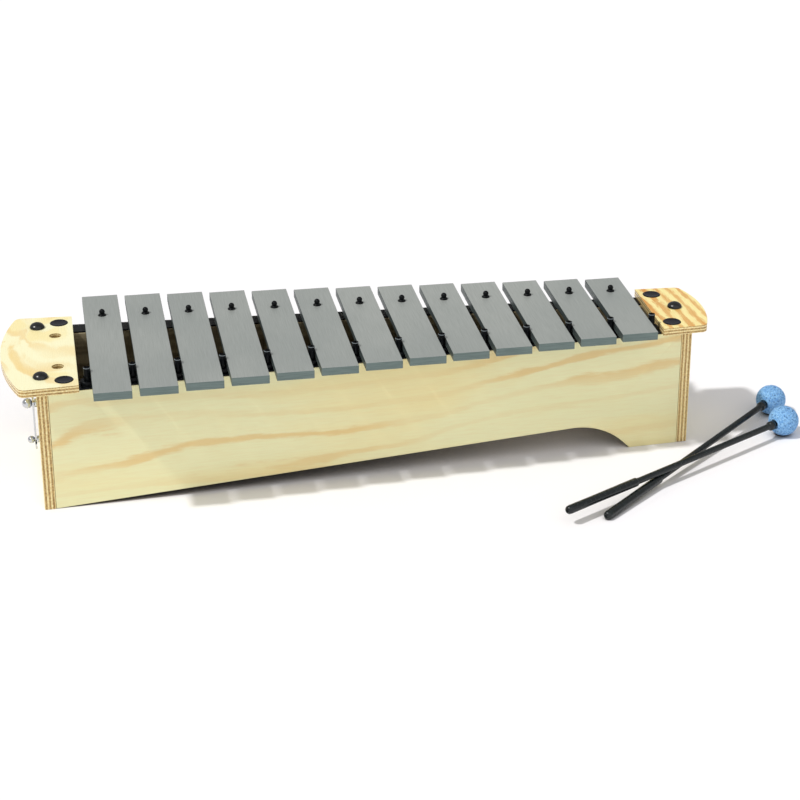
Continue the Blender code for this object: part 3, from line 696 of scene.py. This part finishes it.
def tube_profile(top, strip_top, bar_low):
    """Profile of one separator tube with its collar, a skin's depth outside the strip's own plain one."""
    collar_top = bar_low - COLLAR_GAP
    return [
        (0.0, top - TUBE_BORE_DEPTH),
        (TUBE_BORE_RADIUS, top - TUBE_BORE_DEPTH),
        (TUBE_BORE_RADIUS, top - LIP_BREAK),
        (TUBE_BORE_RADIUS + LIP_BREAK, top),
        (TUBE_RADIUS - LIP_BREAK, top),
        (TUBE_RADIUS + LIP_BREAK, top - RUBBER_BREAK),
        (TUBE_RADIUS + TUBE_SKIN, top - LIP_HEIGHT),
        (TUBE_RADIUS, collar_top),
        (PIN_COLLAR_RADIUS - RUBBER_BREAK, collar_top),
        (PIN_COLLAR_RADIUS + TUBE_SKIN, collar_top - COLLAR_BREAK),
        (PIN_COLLAR_RADIUS + TUBE_SKIN, strip_top + TUBE_SKIN),
        (0.0, strip_top + TUBE_SKIN),
    ]


def dress_near_strip(rubber):
    """The near strip with its row of separator tubes, half a pitch beside the bars."""
    give(NODES["near_strip"], rubber)
    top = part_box("near_strip")[1].z
    tube_rubber = rubber_with_lip_highlight(top)
    profile = tube_profile(top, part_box("far_strip")[1].z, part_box("bar_01")[0].z)
    first_bar, last_bar = middle_of("bar_01")[0], middle_of(f"bar_{BAR_COUNT:02d}")[0]
    first_pin, last_pin = middle_of("bar_pin_01")[0], middle_of(f"bar_pin_{BAR_COUNT:02d}")[0]
    pitch = (last_bar.x - first_bar.x) / (BAR_COUNT - 1)
    slope = (last_pin.y - first_pin.y) / (last_pin.x - first_pin.x)
    for number in range(TUBE_COUNT):
        x = first_bar.x + (number - 0.5) * pitch
        y = -(first_pin.y + slope * (x - first_pin.x))
        name = f"separator_{number + 1:02d}"
        mesh = turned_mesh(name, profile, upright(Vector((x, y, 0.0))), TUBE_SEGMENTS)
        add_piece(name, mesh, tube_rubber, "root")


def dress_plugs(plastic):
    """Flat plugs with a dished face, given as shares of the radius and depths under the rim."""
    for node in sorted(name for name in NODES if name.startswith("cover_plug_")):
        middle, low, high = middle_of(node)
        radius = (high.x - low.x) / 2
        profile = [(radius * share, high.z - depth) for share, depth in PLUG_FACE]
        profile += [(radius, low.z), (0.0, low.z)]
        mesh = turned_mesh(f"fine_{node}", profile, upright(middle), PLUG_SEGMENTS)
        add_piece(f"fine_{node}", mesh, plastic, "root", node)


def dress_buttons(plastic):
    """Glossy domed caps, each with a small flat moulding mark on its crown."""
    for node in sorted(name for name in NODES if name.startswith("dome_button_")):
        middle, low, high = middle_of(node)
        radius = (high.x - low.x) / 2
        height = high.z - low.z
        profile = [(mark_radius, high.z - depth) for mark_radius, depth in BUTTON_MARK]
        for degrees in BUTTON_ARC:
            angle = math.radians(degrees)
            profile.append((radius * math.sin(angle), low.z + height * math.cos(angle)))
        profile += [
            (radius, low.z + BUTTON_FOOT_HEIGHT),
            (radius - BUTTON_FOOT_BREAK, low.z),
            (0.0, low.z),
        ]
        mesh = turned_mesh(f"fine_{node}", profile, upright(middle), BUTTON_SEGMENTS)
        add_piece(f"fine_{node}", mesh, plastic, "root", node)


def dress_coupling(metal):
    for node in ("link_pivot", "link_catch", "coupling_link"):
        give(NODES[node], metal)
        round_edges(NODES[node], CHROME_EDGE, limit=50)
        if node != "coupling_link":
            NODES[node].data.shade_smooth()


def winding_path(radius, seed):
    """Points of one long yarn wound over a ball, in bands of loops that keep clear of the shaft."""
    swing = random.Random(seed).uniform(0.0, math.tau)
    points = []
    for index in range(YARN_LOOPS * YARN_POINTS):
        turn = index / YARN_POINTS
        band, within = divmod(turn / YARN_BAND, 1.0)
        ease = min(max((within - EASE_START) / (1 - EASE_START), 0.0), 1.0)
        ease = ease * ease * (3 - 2 * ease)
        azimuth = swing + BAND_TURN * (band + ease) + LOOP_TURN * (turn % YARN_BAND)
        tilt = TILT_MIDDLE + TILT_SWING * math.sin(TILT_RATE * (band + ease) + swing)
        level = Vector((math.cos(azimuth), math.sin(azimuth), 0.0))
        normal = math.sin(tilt) * level + math.cos(tilt) * Vector(AXIS_Z)
        across = math.cos(tilt) * level - math.sin(tilt) * Vector(AXIS_Z)
        other = normal.cross(across)
        shift = -math.sin(max(0.0, tilt + SHAFT_CLEARANCE - math.pi / 2))
        ring = math.sqrt(1 - shift * shift)
        angle = math.tau * turn
        lift = radius + YARN_LIFT * math.sin(YARN_LIFT_RATE * angle + band)
        spoke = ring * (math.cos(angle) * across + math.sin(angle) * other) + shift * normal
        points.append(lift * spoke)
    return points


def yarn_mesh(name, place, radius, seed):
    """One unbroken tube of yarn along the winding path."""
    curve = bpy.data.curves.new(name, "CURVE")
    curve.dimensions = "3D"
    curve.bevel_depth = YARN_RADIUS
    curve.bevel_resolution = 1
    curve.use_fill_caps = True
    spline = curve.splines.new("POLY")
    path = winding_path(radius - YARN_RADIUS - YARN_LIFT, seed)
    spline.points.add(len(path) - 1)
    for point, spot in zip(spline.points, path):
        point.co = (*spot, 1.0)
    mesh = evaluated_mesh(bpy.data.objects.new(name, curve))
    mesh.transform(place)
    mesh.shade_smooth()
    return mesh


def dress_shaft(label, black, place, low, high):
    """Shaft of one mallet between two distances from the head's centre, with the ferrule under the head."""
    ferrule = HEAD_RADIUS + FERRULE_GAP
    profile = [(0.0, high), (SHAFT_RADIUS, high)]
    profile += [(radius, ferrule + height) for radius, height in FERRULE]
    profile += [(SHAFT_RADIUS, low), (0.0, low)]
    node = f"mallet_shaft_{label}"
    mesh = turned_mesh(f"fine_shaft_{label}", profile, place, MALLET_SEGMENTS)
    add_piece(f"fine_shaft_{label}", mesh, black, f"mallet_{label}", node)


def dress_grip(label, black, place, near, far):
    """Grip of one mallet, with a moulded butt, a slight waist and the bore for the shaft."""
    profile = [(radius, far - height) for radius, height in GRIP_BUTT]
    profile += [(radius, near + height) for radius, height in GRIP_MOUTH]
    profile += [(GRIP_BORE_RADIUS, far - GRIP_BORE_END), (0.0, far - GRIP_BORE_END)]
    node = f"mallet_grip_{label}"
    mesh = turned_mesh(f"fine_grip_{label}", profile, place, MALLET_SEGMENTS)
    add_piece(f"fine_grip_{label}", mesh, black, f"mallet_{label}", node)


def dress_head(label, place, centre, seed):
    """Core and yarn of one mallet head."""
    wool = yarn(f"yarn_{label}", centre, HEAD_RADIUS)
    body = f"mallet_{label}"
    half_circle = arc(HEAD_RADIUS - CORE_DEPTH, 0.0, first=0, last=180, steps=CORE_STEPS)
    core = turned_mesh(f"yarn_core_{label}", half_circle, place, CORE_SEGMENTS)
    add_piece(f"yarn_core_{label}", core, wool, body)
    winding = yarn_mesh(f"yarn_winding_{label}", place, HEAD_RADIUS, seed)
    add_piece(f"yarn_winding_{label}", winding, wool, body, f"mallet_head_{label}")


def dress_mallet(label, black, seed):
    """Shaft, grip and yarn-wound head of one mallet, on the axis of its CAD pieces."""
    head_middle = middle_of(f"mallet_head_{label}")[0]
    centre, direction, low, high = axis_of(f"mallet_shaft_{label}")
    if (centre + direction * high - head_middle).length < (centre + direction * low - head_middle).length:
        direction, low, high = -direction, -high, -low
    start = centre + direction * low
    head_at = start - direction * (start - head_middle).dot(direction)
    turn = direction.to_track_quat("Z", "Y").to_matrix().to_4x4()
    place = Matrix.Translation(head_at) @ turn
    shaft_low = (start - head_at).dot(direction)
    dress_shaft(label, black, place, shaft_low, shaft_low + high - low)
    grip_centre, grip_axis, grip_low, grip_high = axis_of(f"mallet_grip_{label}")
    ends = [(grip_centre + grip_axis * value - head_at).dot(direction) for value in (grip_low, grip_high)]
    dress_grip(label, black, place, min(ends), max(ends))
    dress_head(label, place, head_at, seed)


def dress_part():
    rubber = dark_polymer("rubber_fine", BLACK_RUBBER, roughness=0.36, grain=2600.0, specular=0.10)
    glossy = dark_polymer("plastic_fine", BUTTON_PLASTIC, roughness=0.30, grain=1800.0, specular=0.55)
    satin = dark_polymer("plug_fine", PLUG_PLASTIC, roughness=0.30, grain=1800.0, specular=0.14)
    mallet_black = dark_polymer("mallet_fine", MALLET_PLASTIC, roughness=0.24, grain=300.0, specular=0.45)
    dress_wood()
    dress_bars()
    dress_pins(rubber)
    give(NODES["far_strip"], rubber)
    dress_near_strip(rubber)
    dress_plugs(satin)
    dress_buttons(glossy)
    dress_coupling(chrome())
    dress_mallet("lower", mallet_black, seed=3)
    dress_mallet("upper", mallet_black, seed=8)


def make_floor():
    """Pale floor that keeps the shadows, with painted shade where a piece stands close over it."""
    bpy.ops.mesh.primitive_plane_add(size=FLOOR_SIZE, location=FLOOR_CENTRE)
    floor = bpy.context.object
    floor.name = "studio_floor"
    material, tree, shader = new_material("floor_paper", roughness=0.95, specular=0.0)
    nearness = tree.nodes.new("ShaderNodeAmbientOcclusion")
    nearness.samples = CONTACT_SHADE_SAMPLES
    nearness.inputs["Distance"].default_value = CONTACT_SHADE_REACH
    # Painted shade: the floor turns dark where a piece stands close over it
    unshaded_floor = fade(tree, nearness.outputs["AO"], *CONTACT_SHADE_LIMITS)
    feed(tree, shader.inputs["Base Color"], mix(tree, unshaded_floor, CONTACT_SHADE, FLOOR_COLOUR))
    give(floor, material)


def make_world():
    """A white surround at full strength for the camera and glass, less for gloss and least as a light."""
    world = bpy.data.worlds.new("studio")
    bpy.context.scene.world = world
    world.use_nodes = True
    tree = world.node_tree
    background = tree.nodes["Background"]
    background.inputs["Color"].default_value = SURROUND_COLOUR
    path = tree.nodes.new("ShaderNodeLightPath").outputs
    seen = calc(tree, "MAXIMUM", path["Is Camera Ray"], path["Is Transmission Ray"])
    seen = calc(tree, "MAXIMUM", seen, calc(tree, "MULTIPLY", path["Is Glossy Ray"], GLOSS_STRENGTH))
    feed(tree, background.inputs["Strength"], calc(tree, "MAXIMUM", seen, SURROUND_STRENGTH))


def make_sun(name, travel, strength, angle, colour):
    light = bpy.data.lights.new(name, "SUN")
    light.energy = strength
    light.angle = angle
    light.color = colour
    item = bpy.data.objects.new(name, light)
    item.rotation_mode = "QUATERNION"
    item.rotation_quaternion = travel.to_track_quat("-Z", "Y")
    bpy.context.scene.collection.objects.link(item)


def make_camera():
    """Camera that looks at the target from the photograph's azimuth, elevation, roll and distance."""
    level = math.cos(VIEW_ELEVATION)
    back = Vector((
        math.sin(VIEW_AZIMUTH) * level,
        -math.cos(VIEW_AZIMUTH) * level,
        math.sin(VIEW_ELEVATION),
    ))
    right = Vector((math.cos(VIEW_AZIMUTH), math.sin(VIEW_AZIMUTH), 0.0))
    up = back.cross(right)
    axis_x = right * math.cos(VIEW_ROLL) + up * math.sin(VIEW_ROLL)
    axis_y = up * math.cos(VIEW_ROLL) - right * math.sin(VIEW_ROLL)
    camera = bpy.data.objects.new("photo_camera", bpy.data.cameras.new("photo_camera"))
    camera.data.lens = VIEW_LENS
    camera.data.sensor_width = SENSOR_WIDTH
    turn = Matrix((axis_x, axis_y, back)).transposed().to_4x4()
    camera.matrix_world = Matrix.Translation(VIEW_TARGET + back * VIEW_DISTANCE) @ turn
    bpy.context.scene.collection.objects.link(camera)
    bpy.context.scene.camera = camera


dress_part()
make_floor()
make_world()
make_sun("key_light", KEY_TRAVEL, KEY_STRENGTH, KEY_ANGLE, KEY_COLOUR)
make_sun("front_fill", FILL_TRAVEL, FILL_STRENGTH, FILL_ANGLE, FILL_COLOUR)
make_camera()
bpy.context.scene.view_settings.view_transform = "Standard"
